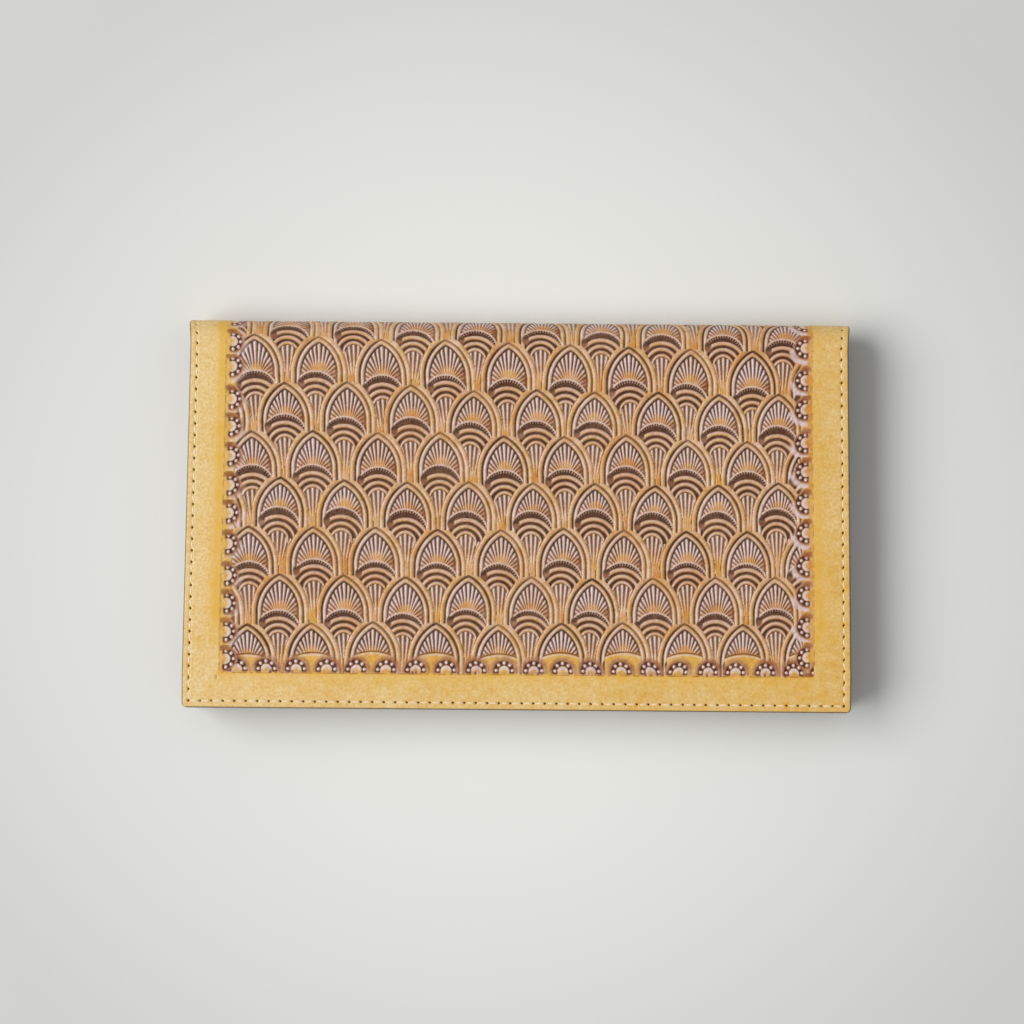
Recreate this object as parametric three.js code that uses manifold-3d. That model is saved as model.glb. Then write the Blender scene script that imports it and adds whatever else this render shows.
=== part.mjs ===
// A long leather wallet, closed and lying on its back: millimetres, +Z up, fold towards +Y.
// The origin is on the table under the middle of the closed wallet.
import * as THREE from "three";
import { mergeVertices } from "three/addons/utils/BufferGeometryUtils.js";
import Module from "manifold-3d";

// Driving dimensions
const WALLET_WIDTH = 190; // along the fold
const CLOSED_HEIGHT = 110; // open edge to the outside of the fold
const CORNER_RADIUS = 1.5;
const COVER_THICKNESS = 2.0;
const LINING_THICKNESS = 0.8;
const PANEL_THICKNESS = 0.8; // leather of the pocket walls
const HEM_THICKNESS = 0.8; // edge turned under each pocket wall, which gives the pocket its depth
const HEM_WIDTH = 6;
const DIVIDER_WIDTH = 4; // sewn strip between the two columns of card pockets
const GLUE_LINE = 0.1; // between neighbouring layers
const LEAF_GAP = 0.8; // between the two halves when the wallet is shut
const CARD_ROWS = 3;
const CARD_POCKET_DEPTH = 46; // an ID-1 card is 54 high, so 8 stays in sight
const MOUTH_SETBACK = 8; // start of the fold to the mouth of the long pockets
const SEAM_INSET = 2.0; // edge to the middle of the stitch line
const GROOVE_WIDTH = 1.2;
const GROOVE_DEPTH = 0.6;
const THREAD_WIDTH = 0.8;
const THREAD_HEIGHT = 0.5;
const THREAD_CLEARANCE = 0.05; // thread to the floor of its groove
const FOLD_HINGES = 4; // lines along which the fold bends
const FOLD_GAP = 0.1; // between neighbouring strips of the fold, on their outside
const CORNER_STEPS = 4;
const ARC_STEPS = 4;

// Layers of one half, counted from its outer face
const layerTop = (below, thickness) => below + GLUE_LINE + thickness;
const liningTop = layerTop(COVER_THICKNESS, LINING_THICKNESS);
const longHemTop = layerTop(liningTop, HEM_THICKNESS);
const longWallTop = layerTop(longHemTop, PANEL_THICKNESS);
const cardRowHeight = layerTop(layerTop(0, HEM_THICKNESS), PANEL_THICKNESS);
const backStack = longWallTop + CARD_ROWS * cardRowHeight;
const frontStack = longWallTop;

// Places that follow from the sizes
const closedThickness = backStack + LEAF_GAP + frontStack;
const foldRadius = closedThickness / 2;
const halfWidth = WALLET_WIDTH / 2;
const openEdgeY = -CLOSED_HEIGHT / 2;
const foldStartY = CLOSED_HEIGHT / 2 - foldRadius;
const longMouthY = foldStartY - MOUTH_SETBACK;
const lowestCardMouthY = openEdgeY + HEM_WIDTH + CARD_POCKET_DEPTH;
const cardStep = (longMouthY - lowestCardMouthY) / CARD_ROWS;
const hingeAngle = Math.PI / FOLD_HINGES;

const wasm = await Module();
wasm.setup();

// A closed geometry as a solid that can be cut
function solidOf(geometry) {
  const bare = geometry.clone();
  bare.deleteAttribute("normal");
  bare.deleteAttribute("uv");
  const merged = mergeVertices(bare);
  return new wasm.Manifold(
    new wasm.Mesh({
      numProp: 3,
      vertProperties: merged.attributes.position.array,
      triVerts: new Uint32Array(merged.index.array),
    }),
  );
}

function geometryOf(solid) {
  const mesh = solid.getMesh();
  return new THREE.BufferGeometry()
    .setAttribute("position", new THREE.BufferAttribute(mesh.vertProperties, 3))
    .setIndex(new THREE.BufferAttribute(mesh.triVerts, 1));
}

// A flat outline in the plane of the table, given its thickness upwards
function plate(shape, thickness) {
  return new THREE.ExtrudeGeometry(shape, {
    depth: thickness,
    bevelEnabled: false,
    curveSegments: CORNER_STEPS,
  });
}

// A cross-section drawn as (y, z), run along the whole fold
function runAlongFold(section) {
  const geometry = new THREE.ExtrudeGeometry(section, {
    depth: WALLET_WIDTH,
    bevelEnabled: false,
    curveSegments: ARC_STEPS,
  });
  const sectionToWallet = new THREE.Matrix4().makeBasis(
    new THREE.Vector3(0, 1, 0),
    new THREE.Vector3(0, 0, 1),
    new THREE.Vector3(1, 0, 0),
  );
  return geometry.applyMatrix4(sectionToWallet).translate(-halfWidth, 0, 0);
}

// Down the left side, round both outer corners and up the right side to the mouth
function sewnSides(mouthY) {
  const cornerX = halfWidth - CORNER_RADIUS;
  const cornerY = openEdgeY + CORNER_RADIUS;
  const shape = new THREE.Shape();
  shape.moveTo(-halfWidth, mouthY);
  shape.lineTo(-halfWidth, cornerY);
  shape.absarc(-cornerX, cornerY, CORNER_RADIUS, Math.PI, 1.5 * Math.PI, false);
  shape.absarc(cornerX, cornerY, CORNER_RADIUS, 1.5 * Math.PI, 2 * Math.PI, false);
  shape.lineTo(halfWidth, mouthY);
  return shape;
}

// The edge turned under a pocket wall: both sides, the floor of the pocket and any dividing strip
function hemShape(mouthY, floorY, dividerWidth) {
  const innerX = halfWidth - HEM_WIDTH;
  const shape = sewnSides(mouthY);
  shape.lineTo(innerX, mouthY);
  shape.lineTo(innerX, floorY);
  if (dividerWidth > 0) {
    shape.lineTo(dividerWidth / 2, floorY);
    shape.lineTo(dividerWidth / 2, mouthY);
    shape.lineTo(-dividerWidth / 2, mouthY);
    shape.lineTo(-dividerWidth / 2, floorY);
  }
  shape.lineTo(-innerX, floorY);
  shape.lineTo(-innerX, mouthY);
  return shape;
}

// A band that follows the stitch line down one side, along the open edge and up the other side
function seamShape(width) {
  const outer = SEAM_INSET - width / 2;
  const inner = SEAM_INSET + width / 2;
  const shape = new THREE.Shape();
  shape.moveTo(-halfWidth + outer, foldStartY);
  shape.lineTo(-halfWidth + outer, openEdgeY + outer);
  shape.lineTo(halfWidth - outer, openEdgeY + outer);
  shape.lineTo(halfWidth - outer, foldStartY);
  shape.lineTo(halfWidth - inner, foldStartY);
  shape.lineTo(halfWidth - inner, openEdgeY + inner);
  shape.lineTo(-halfWidth + inner, openEdgeY + inner);
  shape.lineTo(-halfWidth + inner, foldStartY);
  return shape;
}

// Part of the bent fold between two radii: bend 0 is where the back half ends, half a turn where the front begins
function bentSection(outerRadius, innerRadius, fromBend, toBend) {
  const downwards = -Math.PI / 2;
  const shape = new THREE.Shape();
  shape.absarc(foldStartY, foldRadius, outerRadius, downwards + fromBend, downwards + toBend, false);
  shape.absarc(foldStartY, foldRadius, innerRadius, downwards + toBend, downwards + fromBend, true);
  return shape;
}

// A sheet of one half with the start of the fold on it, as a cross-section of the back half
function sheetSection(outerFace, innerFace) {
  const outerRadius = foldRadius - outerFace;
  const innerRadius = foldRadius - innerFace;
  const downwards = -Math.PI / 2;
  const bend = downwards + hingeAngle / 2 - FOLD_GAP / 2 / foldRadius;
  const shape = new THREE.Shape();
  shape.moveTo(openEdgeY, innerFace);
  shape.lineTo(openEdgeY, outerFace);
  shape.absarc(foldStartY, foldRadius, outerRadius, downwards, bend, false);
  shape.absarc(foldStartY, foldRadius, innerRadius, bend, downwards, true);
  return shape;
}

// A sheet of the back half, with its two outer corners rounded
function sheetSolid(outerFace, innerFace) {
  const sheet = solidOf(runAlongFold(sheetSection(outerFace, innerFace)));
  const roundedOutline = solidOf(plate(sewnSides(CLOSED_HEIGHT), closedThickness));
  return sheet.intersect(roundedOutline);
}

function coverGeometry() {
  const groove = plate(seamShape(GROOVE_WIDTH), 2 * GROOVE_DEPTH).translate(0, 0, -GROOVE_DEPTH);
  return geometryOf(sheetSolid(0, COVER_THICKNESS).subtract(solidOf(groove)));
}

function liningGeometry() {
  return geometryOf(sheetSolid(liningTop - LINING_THICKNESS, liningTop));
}

// Finishes
const leather = (color, roughness) => new THREE.MeshStandardMaterial({ color, roughness, metalness: 0 });
const finish = {
  cover: leather(0xd8a860, 0.45),
  lining: leather(0xa9824f, 0.85),
  pocket: leather(0xb98446, 0.6),
  hem: leather(0x7a5130, 0.7),
  thread: leather(0xe6d3b3, 0.8),
};

function named(name, geometry, material) {
  const mesh = new THREE.Mesh(geometry, material);
  mesh.name = name;
  return mesh;
}

// A flat layer whose inner face lies at the given height above the half's outer face
function flatLayer(name, shape, top, thickness, material) {
  const mesh = named(name, plate(shape, thickness), material);
  mesh.position.z = top - thickness;
  return mesh;
}

// Cover, lining, seam thread and the long pocket, which both halves have
function addLongPocketHalf(half, side, pocket) {
  const thread = named(`seam_thread_${side}`, plate(seamShape(THREAD_WIDTH), THREAD_HEIGHT), finish.thread);
  thread.position.z = GROOVE_DEPTH - THREAD_CLEARANCE - THREAD_HEIGHT;
  const hem = hemShape(longMouthY, openEdgeY + HEM_WIDTH, 0);
  half.add(
    named(`cover_${side}`, coverGeometry(), finish.cover),
    named(`lining_${side}`, liningGeometry(), finish.lining),
    thread,
    flatLayer(`${pocket}_hem`, hem, longHemTop, HEM_THICKNESS, finish.hem),
    flatLayer(`${pocket}_wall`, sewnSides(longMouthY), longWallTop, PANEL_THICKNESS, finish.pocket),
  );
}

function backHalf() {
  const half = new THREE.Group();
  addLongPocketHalf(half, "back", "bill_pocket");
  for (let row = 1; row <= CARD_ROWS; row++) {
    const mouthY = longMouthY - row * cardStep;
    const hemTop = longWallTop + (row - 1) * cardRowHeight + GLUE_LINE + HEM_THICKNESS;
    const wallTop = longWallTop + row * cardRowHeight;
    const hem = hemShape(mouthY, mouthY - CARD_POCKET_DEPTH, DIVIDER_WIDTH);
    half.add(
      flatLayer(`card_pocket_${row}_hem`, hem, hemTop, HEM_THICKNESS, finish.hem),
      flatLayer(`card_pocket_${row}_wall`, sewnSides(mouthY), wallTop, PANEL_THICKNESS, finish.pocket),
    );
  }
  return half;
}

// The front half is the long-pocket half turned over, so it is mirrored about the middle of the closed wallet
function frontHalf() {
  const half = new THREE.Group();
  addLongPocketHalf(half, "front", "slip_pocket");
  half.position.z = closedThickness;
  half.scale.z = -1;
  return half;
}

// The cover and the lining where they go round the fold, in strips that meet at the bending lines
function fold() {
  const group = new THREE.Group();
  const halfGap = FOLD_GAP / 2 / foldRadius;
  for (let strip = 1; strip < FOLD_HINGES; strip++) {
    const fromBend = (strip - 0.5) * hingeAngle + halfGap;
    const toBend = (strip + 0.5) * hingeAngle - halfGap;
    const layer = (outerFace, innerFace) =>
      runAlongFold(bentSection(foldRadius - outerFace, foldRadius - innerFace, fromBend, toBend));
    group.add(
      named(`fold_cover_${strip}`, layer(0, COVER_THICKNESS), finish.cover),
      named(`fold_lining_${strip}`, layer(liningTop - LINING_THICKNESS, liningTop), finish.lining),
    );
  }
  return group;
}

const wallet = new THREE.Group();
wallet.add(backHalf(), fold(), frontHalf());

export default wallet;
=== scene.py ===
"""Tooled leather wallet: stamped cover, lining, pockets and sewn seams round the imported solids."""

import math

import bmesh
import bpy
import numpy as np
from mathutils import Matrix, Vector


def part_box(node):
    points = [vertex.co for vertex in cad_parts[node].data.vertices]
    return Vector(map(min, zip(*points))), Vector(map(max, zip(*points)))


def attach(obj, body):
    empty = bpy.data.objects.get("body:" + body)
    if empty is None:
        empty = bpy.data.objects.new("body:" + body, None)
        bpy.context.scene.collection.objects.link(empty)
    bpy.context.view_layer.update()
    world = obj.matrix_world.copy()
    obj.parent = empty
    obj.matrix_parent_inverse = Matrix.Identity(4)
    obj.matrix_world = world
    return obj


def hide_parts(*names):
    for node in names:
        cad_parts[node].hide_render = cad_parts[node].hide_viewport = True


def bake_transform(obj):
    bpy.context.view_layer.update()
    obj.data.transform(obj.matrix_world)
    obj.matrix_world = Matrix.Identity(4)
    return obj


MM = 0.001

# Wallet, in millimetres; s runs along the cover from the front open edge round the fold
HALF_WIDTH = 95.0
OPEN_EDGE = 55.0
BEND_RADIUS = 7.8
BEND_CENTRE_Y = 47.2
FLAT_LENGTH = OPEN_EDGE + BEND_CENTRE_Y
BEND_LENGTH = math.pi * BEND_RADIUS
SHEET_LENGTH = 2.0 * FLAT_LENGTH + BEND_LENGTH
CUTS = [FLAT_LENGTH + BEND_RADIUS * math.radians(angle) for angle in (45.0, 90.0, 135.0)]
COVER_THICKNESS = 2.0
COVER_OVERHANG = 0.55
COVER_ROUNDING = 0.55
COVER_SINK = 0.02
LINING_THICKNESS = 0.8
LINING_INSIDE = 2.9
LINING_ROUNDING = 0.3
POCKET_ROUNDING = 0.32
PLAIN_SINK = 0.01
CREASE_INSET = 3.0
CREASE_HALF = 0.4
CREASE_DEPTH = 0.14
CORNER_RADIUS = 1.5
CORNER_REACH = 9.0
WAIST_START = 9.5
WAIST_SLOPE = 0.0165
WAIST_FLARE = 0.95
WAIST_REACH = 5.0

# Names: parts and bodies from the front round the fold to the back, pockets from the inside out
PARTS = ("front", "fold_upper", "fold_lower", "back")
BACK_POCKETS = ("card_pocket_3", "card_pocket_2", "card_pocket_1", "bill_pocket")
FRONT_POCKETS = ("slip_pocket",)

# Mesh steps, in millimetres
FINE_STEP = 0.18
BACK_STEP = 0.3
MARGIN_STEP = 0.45
SEAM_STEP = 0.17
SEAM_BAND = 3.0
LINING_STEP = 1.6
FOLD_STEP = 0.4
POCKET_STEP = 2.0
EDGE_STEP = 0.14
EDGE_BAND = 1.0
MOUTH_BAND = 4.0

# Walls of a sheet: share of its thickness, inset in millimetres, and two heights on the bake map
WALL_STEPS = ((0.88, 0.0, 0.01, 0.03), (1.0, 0.16, 0.035, 0.05))

# Bake map of a sheet: its edge and span across, then the start and height of each strip
BAKE_MAP = "OFBake"
MAP_EDGE = 0.01
MAP_SPAN = 0.98
UNDER_STRIP = (0.055, 0.03)
CAP_STRIPS = ((0.088, 0.008), (0.099, 0.008))
FACE_STRIP = (0.11, 0.88)

# Stamped field, in millimetres
FIELD_SIDE_LOW = 84.4
FIELD_SIDE_HIGH = 83.2
FIELD_END = 9.6
STAMP_DEPTH = 0.62
FOLD_STRETCH = 0.55
FIRST_TIP = 23.91
ROW_PITCH = 13.47
ROW_DRIFT = 0.028
ROW_SLOPE = 0.0082
ROW_SLOPE_DRIFT = 0.0053
ROW_SHIFT = 0.2075
FIRST_COLUMN = -76.07
COLUMN_PITCH = 17.653
COLUMN_DRIFT = 0.0107
COLUMN_BOW = 0.4
BOW_REACH = 45.0
TOP_SHIFT = 0.7
TOP_SHIFT_FROM = 5
DRIFT_ROWS = 7
STAMP_ROWS = 18
LOW_ROWS = 3
STAMP_COLUMNS = 14
MIDDLE_COLUMN = 5.5
STAMP_ABOVE = 3.0
STAMP_BELOW = 31.0
NO_STAMP = -9.0
STAMP_JITTER = 0.28
STAMP_TURN = -0.014
TURN_SPREAD = 0.02
WAVES = 14
SEED = 11

# One arch stamp, in millimetres from its tip
ARCH_HALF_WIDTH = 6.43
ARCH_SHOULDER = 10.5
ARCH_CENTRE = (ARCH_SHOULDER ** 2 - ARCH_HALF_WIDTH ** 2) / (2.0 * ARCH_HALF_WIDTH)
ARCH_RADIUS = ARCH_HALF_WIDTH + ARCH_CENTRE
ARCH_REACH = 1.62
TIP_REACH = 0.35
TIP_ROUNDING = 0.28
OUTER_EDGE = 1.66
INNER_EDGE = 1.32
ARCH_INSIDE = 1.28
FAN_CENTRE = 11.7
FAN_BEND = 2.5
FAN_HEART = 8.25
FAN_FOLLOWS = 0.6
FAN_ANGLES = (0.0, 7.0, 16.5, 26.0, 37.0, 48.0, 60.0, 74.0, 90.0, 108.0)
LIP_CENTRE = 14.9
LIP_RADIUS = 6.15
LIP_HALF = 0.4
COMB_FOOT = 5.3
COMB_TEETH = 0.5
TOOTH_DEGREES = 8.0
ARC_SIDE = -0.45
ROW_DROPS = (0.2, 0.85, 0.45, -1.2, 0.45, 0.0, 1.3)
DROP_LEAN = 0.11
ARC_CENTRE = 17.7
ARC_RINGS = ((6.8, 1.22), (4.9, 1.15), (3.1, 1.0))
FLUTE_TOP = 15.6
FLUTE_FOOT = 26.7
FLUTE_PITCH = 1.42
FLUTE_TAPER = 0.7
PATCH_SIDE = 4.95
PATCH_DROP = 12.7
CLOSING_DROP = 8.5
CLOSING_RADIUS = 13.0

# Border shells, in millimetres; a line of them has a start, a pitch and an inset
SHELL_DOME = 1.5
PEARL_RING = 2.28
PEARL_RADIUS = 0.54
PEARL_DEGREES = 43.0
LEFT_SHELLS = (13.1, 8.25, 1.75)
RIGHT_SHELLS = (15.2, 8.74, 1.8)
END_SHELLS = (-80.2, 8.316, 0.95)
END_BOW = 2.0
END_DARKNESS = 0.9
END_HALO = 0.7
SHELL_JITTER = 0.28
SHELL_LEAN = 0.3
DRAWS = 97
SMEAR_ALONG = 3.2
TICK_PLACE = (-85.1, 8.2)

# Seam, in millimetres
SEAM_INSET = 2.0
SIDE_STITCHES = 69
END_STITCHES = 57
SEAM_START = SEAM_INSET - COVER_OVERHANG
SIDE_PITCH = (SHEET_LENGTH - 2.0 * SEAM_START) / SIDE_STITCHES
END_PITCH = 2.0 * (HALF_WIDTH - SEAM_INSET) / END_STITCHES
STITCH_SLANT = 0.1
SLANT_SPREAD = 0.05
HOLE_ALONG = 0.58
HOLE_ACROSS = 0.42
HOLE_SLANT = 0.28
HOLE_DEPTH = 0.9
GROOVE_HALF = 0.75
GROOVE_DEPTH = 0.07
THREAD_RADIUS = 0.26
THREAD_SPREAD = 1.3
THREAD_SETBACK = 0.4
THREAD_SINK = 0.52
THREAD_ARCH = 0.36
THREAD_TWIST = 2.6
THREAD_PLY = 0.12
STATIONS = 11
THREAD_SIDES = 8

# Camera, in millimetres and degrees
CAMERA_TARGET = (-1.72, 0.71, 15.6)
CAMERA_DISTANCE = 800.0
CAMERA_TILT = 0.56
CAMERA_ROLL = 0.51
CAMERA_LENS = 99.12

# Floor with a painted pool of light round the wallet, and the lamp, in metres and watts
FLOOR_HALF = 3.0
FLOOR_MIDDLE = (0.0, -0.008, 0.0)
FLOOR_SHADES = (0.05, 0.19)
KEY_PLACE = (-2.9, 0.2, 2.6)
KEY_SIZE = (4.6, 2.8)
KEY_POWER = 169.0
WORLD_COLOUR = (1.0, 1.0, 0.99, 1.0)
WORLD_STRENGTH = 0.38

# Colours, in display values from 0 to 255
PLAIN_PALE = (238, 214, 160)
PLAIN_DEEP = (221, 174, 82)
PLAIN_SPECK = (192, 138, 56)
BAND = (223, 189, 159)
BAND_DEEP = (208, 160, 99)
BAND_PINK = (224, 181, 161)
AMBER_PLAIN = (225, 172, 52)
AMBER_FIELD = (214, 159, 62)
AMBER_DEEP = (205, 127, 41)
# Pale coat: painted highlight on crests, tips, rims and round shells, on the pearls partly their pale tone
PALE_HIGHLIGHT = (222, 203, 207)
RED_BROWN = (142, 66, 40)
DARK_WARM = (80, 33, 12)
DARK_COOL = (65, 36, 24)
EDGE_DARK = (92, 66, 48)
# Painted shade inside the stitch holes
HOLE_SHADE = (46, 28, 16)
LINING_COLOURS = ((176, 132, 84), (146, 104, 62), (86, 58, 36))
POCKET_COLOURS = ((196, 146, 84), (168, 116, 60), (88, 58, 34))
HEM_TAN = (120, 84, 52)
HEM_DARK = (84, 56, 34)
HEM_WORN = (140, 102, 66)
THREAD_CREAM = (242, 218, 184)
THREAD_TAN = (220, 184, 142)
THREAD_FUZZ = (247, 230, 208)
# Floor: painted pool of light, lit round the wallet and dim further out
FLOOR_LIT = (238, 239, 234)
FLOOR_DIM = (207, 207, 205)


def linear(colour):
    """Display values as a linear colour with alpha."""
    parts = [c / 255.0 for c in colour]
    return tuple(p / 12.92 if p <= 0.04045 else ((p + 0.055) / 1.055) ** 2.4 for p in parts) + (1.0,)


def smooth(low, high, value):
    """0 below low, 1 above high, and smooth between."""
    t = np.clip((value - low) / (high - low), 0.0, 1.0)
    return t * t * (3.0 - 2.0 * t)


def ridge(distance, half_width):
    """A rounded ridge, 1 on its crest."""
    return 0.5 + 0.5 * np.cos(np.pi * np.clip(np.abs(distance) / half_width, 0.0, 1.0))


def ribs(count):
    """Ridges with crests at the whole numbers."""
    return ridge(count - np.round(count), 0.5)


def band(distance, half_width):
    """A plump band, 1 on its flat crest."""
    return 1.0 - np.clip(np.abs(distance) / half_width, 0.0, 1.0) ** 2.4


def edge_roll(edge, radius):
    """Fall of a rounded edge, by distance in from it."""
    near = np.clip(radius - edge, 0.0, radius)
    return radius - np.sqrt(np.maximum(radius ** 2 - near ** 2, 0.0))


def blend(low, high, share):
    return low + (high - low) * share


def lay_over(look, share, **values):
    """Lays values over those of a look, by a share or where a mask is true."""
    for name, value in values.items():
        look[name] = blend(look[name], value, share)


def from_end(s):
    """Distance along the cover to the nearer open edge."""
    return np.minimum(s, SHEET_LENGTH - s)


# Stamped pattern


def arch_distance(u, v):
    """Distance inside an arch's groove, u across and v down from its tip."""
    drop = np.maximum(ARCH_SHOULDER - v, 0.0)
    return ARCH_RADIUS - np.hypot(np.hypot(u, TIP_ROUNDING) + ARCH_CENTRE, drop)


def stamp_traits():
    """Seeded differences between the hand-set stamps."""
    rng = np.random.default_rng(SEED)
    size = (STAMP_ROWS, STAMP_COLUMNS)
    low_rows = (np.arange(STAMP_ROWS) < LOW_ROWS)[:, None]
    row_drop = np.resize(ROW_DROPS, STAMP_ROWS)[:, None]
    lean = DROP_LEAN * (MIDDLE_COLUMN - np.arange(STAMP_COLUMNS))
    return {
        "shift_x": rng.normal(0.0, STAMP_JITTER, size),
        "shift_s": rng.normal(0.0, STAMP_JITTER, size),
        "turn": rng.normal(STAMP_TURN, TURN_SPREAD, size),
        "force": rng.uniform(0.0, 1.0, size),
        "tint": rng.uniform(0.0, 1.0, size),
        "fade": rng.uniform(0.0, 1.0, size),
        "arc_side": np.clip(rng.normal(ARC_SIDE, 0.3, size), -1.1, 0.2),
        "arc_drop": np.clip(rng.normal(0.0, 0.35, size), -0.7, 0.7) + row_drop + lean,
        "arc_lap": rng.uniform(-0.2, 0.6, size) + 0.35 * low_rows,
    }


def find_stamps(x, s):
    """For each point, its place in the lowest stamp over it, and that stamp's traits."""
    traits = stamp_traits()
    found = {name: np.zeros(x.size) for name in ("u", "v", *traits)}
    found["d"] = np.full(x.size, NO_STAMP)
    found["row"] = np.full(x.size, -1)
    for row in range(STAMP_ROWS - 1, -1, -1):
        drift = min(row, DRIFT_ROWS)
        tip = FIRST_TIP + row * ROW_PITCH - ROW_DRIFT * drift ** 2
        near = np.nonzero((s > tip - STAMP_BELOW) & (s < tip + STAMP_ABOVE))[0]
        if near.size == 0:
            continue
        px, ps = x[near], s[near]
        pitch = COLUMN_PITCH - COLUMN_DRIFT * drift
        shift = ROW_SHIFT * drift + TOP_SHIFT * max(drift - TOP_SHIFT_FROM, 0)
        start = FIRST_COLUMN + shift + 0.5 * pitch * (row % 2)
        column = np.clip(np.round((px - start) / pitch), -1, STAMP_COLUMNS - 2).astype(int)
        of_stamp = {name: values[row, column + 1] for name, values in traits.items()}
        bow = COLUMN_BOW * (1.0 - (px / BOW_REACH) ** 2)
        u = px - (start + pitch * column) - of_stamp["shift_x"] - bow
        v = tip + px * (ROW_SLOPE - ROW_SLOPE_DRIFT * drift) + of_stamp["shift_s"] - ps
        u, v = u + of_stamp["turn"] * v, v - of_stamp["turn"] * u
        d = arch_distance(u, v)
        own = d > -blend(TIP_REACH, ARCH_REACH, smooth(0.3, 3.6, np.abs(u)))
        index = near[own]
        for name, values in {"u": u, "v": v, "d": d, **of_stamp}.items():
            found[name][index] = values[own]
        found["row"][index] = row
    return found


def hand_unevenness(x, s):
    """Seeded unevenness of the pressed leather, from about -1 to 1."""
    rng = np.random.default_rng(SEED + 2)
    total = np.zeros_like(x)
    for length in np.geomspace(1.1, 9.0, WAVES):
        heading = rng.uniform(0.0, 2.0 * np.pi)
        phase = rng.uniform(0.0, 2.0 * np.pi)
        wave = 2.0 * np.pi / length
        total += np.sin(wave * (x * np.cos(heading) + s * np.sin(heading)) + phase)
    return total / math.sqrt(WAVES)


def arch_edge(stamp, left):
    """The two bands of an arch; the groove between them is darkest on the left, partly by dye and partly by
    painted shade, and the inner band has a painted highlight on its left flank.
    """
    u, v, d = stamp["u"], stamp["v"], stamp["d"]
    gap = blend(0.22 - 0.14 * stamp["fade"], 0.14 + 0.1 * stamp["force"], left)
    gap *= blend(1.0, 0.7, smooth(5.0, 10.0, v))
    outer = band(d + 0.5 * (OUTER_EDGE + gap), 0.5 * (OUTER_EDGE - gap) + 0.04)
    inner = band(d - 0.5 * (INNER_EDGE + gap), 0.5 * (INNER_EDGE - gap) + 0.04)
    outer = np.maximum(outer, smooth(3.2, 1.8, v) * (d < -0.5 * (OUTER_EDGE + gap)))
    near_tip = smooth(4.0, 1.0, np.hypot(u, v))
    # The outer band is more amber towards the left: partly stain, partly painted shade.
    stained = outer * smooth(-0.5, 0.5, left - stamp["fade"])
    return {
        "level": np.maximum(0.9 * outer, 0.96 * inner),
        "amber": stamp["tint"] * np.maximum(0.85 * stained, 0.45 * near_tip),
        "pale": 0.45 * inner * left,
        "red": np.zeros_like(u),
        "ink": 1.0 - 0.6 * stamp["fade"] * (1.0 - left),
    }


def fan_look(stamp):
    """The rays inside an arch, from an amber heart to tips with a painted highlight."""
    u, d = stamp["u"], stamp["d"]
    v = stamp["v"] - FAN_FOLLOWS * stamp["arc_drop"]
    across = np.degrees(np.arctan2(np.abs(u), FAN_CENTRE + FAN_BEND * ridge(u, 2.4) - v))
    radius = np.hypot(u, FAN_CENTRE - v)
    crest = ribs(np.interp(across, FAN_ANGLES, np.arange(len(FAN_ANGLES)))) ** 0.8
    above_lip = np.hypot(u, stamp["v"] - stamp["arc_drop"] - FAN_HEART)
    heart = smooth(1.0, 0.35, above_lip / blend(2.0, 3.4, stamp["tint"]))
    parted = smooth(2.0, 3.8, radius) * (1.0 - heart * blend(0.5, 0.9, stamp["tint"]))
    near = smooth(7.2, 4.0, radius)
    corner = smooth(2.9, 4.1, u) * smooth(7.0, 8.8, v) * blend(0.5, 1.0, stamp["force"])
    rim = smooth(ARCH_INSIDE + 0.05, ARCH_INSIDE + 0.75, d)
    # The painted highlight on the ray tips is weaker on faded stamps.
    highlight_fade = blend(1.0, 0.6, stamp["fade"])
    return {
        "level": blend(0.68, 0.08 + 0.82 * crest, parted) * rim * (1.0 - 0.3 * corner),
        "amber": np.maximum(0.7 * heart, 0.25 * near),
        "pale": crest * smooth(3.4, 6.2, radius) * (1.0 - 0.75 * heart) * (1.0 - corner) * highlight_fade,
        "red": np.maximum(0.85 * (1.0 - crest) * parted * near, corner * (1.0 - 0.25 * crest)),
        "ink": 1.0 - 0.7 * near,
    }


def add_comb(look, au, av, force):
    """Adds the lip under the fan and the dark comb under it; the pale on the lip and the teeth is painted
    highlight.
    """
    reach = np.hypot(au, av - LIP_CENTRE)
    lip = band(reach - LIP_RADIUS, LIP_HALF)
    lay_over(look, lip, amber=0.25, pale=0.55, red=0.0, ink=1.0)
    look["level"] = np.maximum(look["level"] * (reach > LIP_RADIUS), 0.92 * lip)
    teeth = ribs(np.degrees(np.arctan2(au, LIP_CENTRE - av)) / TOOTH_DEGREES)
    foot = COMB_FOOT - COMB_TEETH * force
    combed = teeth * smooth(foot, foot + 0.5, reach)
    lay_over(look, reach < LIP_RADIUS - 0.26,
             level=0.05 + 0.42 * combed, amber=0.0, pale=0.15 * combed, red=0.25, ink=1.0)


def arc_width(width, au, av):
    """Width of an arc, which is slim at its ends and runs out below the centre."""
    lean = np.degrees(np.arctan2(np.abs(au), ARC_CENTRE - av))
    return width * (1.0 - 0.35 * smooth(35.0, 85.0, lean)) * smooth(2.6, 0.0, av - ARC_CENTRE) + 0.01


def add_arcs(look, au, av, tint):
    """Adds the three arcs under the comb, with a painted highlight on their crests."""
    distance = np.hypot(au, av - ARC_CENTRE)
    for ring, width in ARC_RINGS:
        slim = arc_width(width, au, av)
        arc = band(distance - ring + 0.5 * slim, 0.56 * slim)
        belly = smooth(ring - 0.35 * width, ring - 0.95 * width, distance)
        under = (distance < ring + 0.08) & (av < ARC_CENTRE)
        lay_over(look, under, level=0.04 + 0.9 * arc, amber=arc * (0.15 + 0.35 * tint + 0.5 * belly),
                 pale=0.35 * arc * (1.0 - belly), red=0.35 * (1.0 - arc), ink=1.0)


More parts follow.
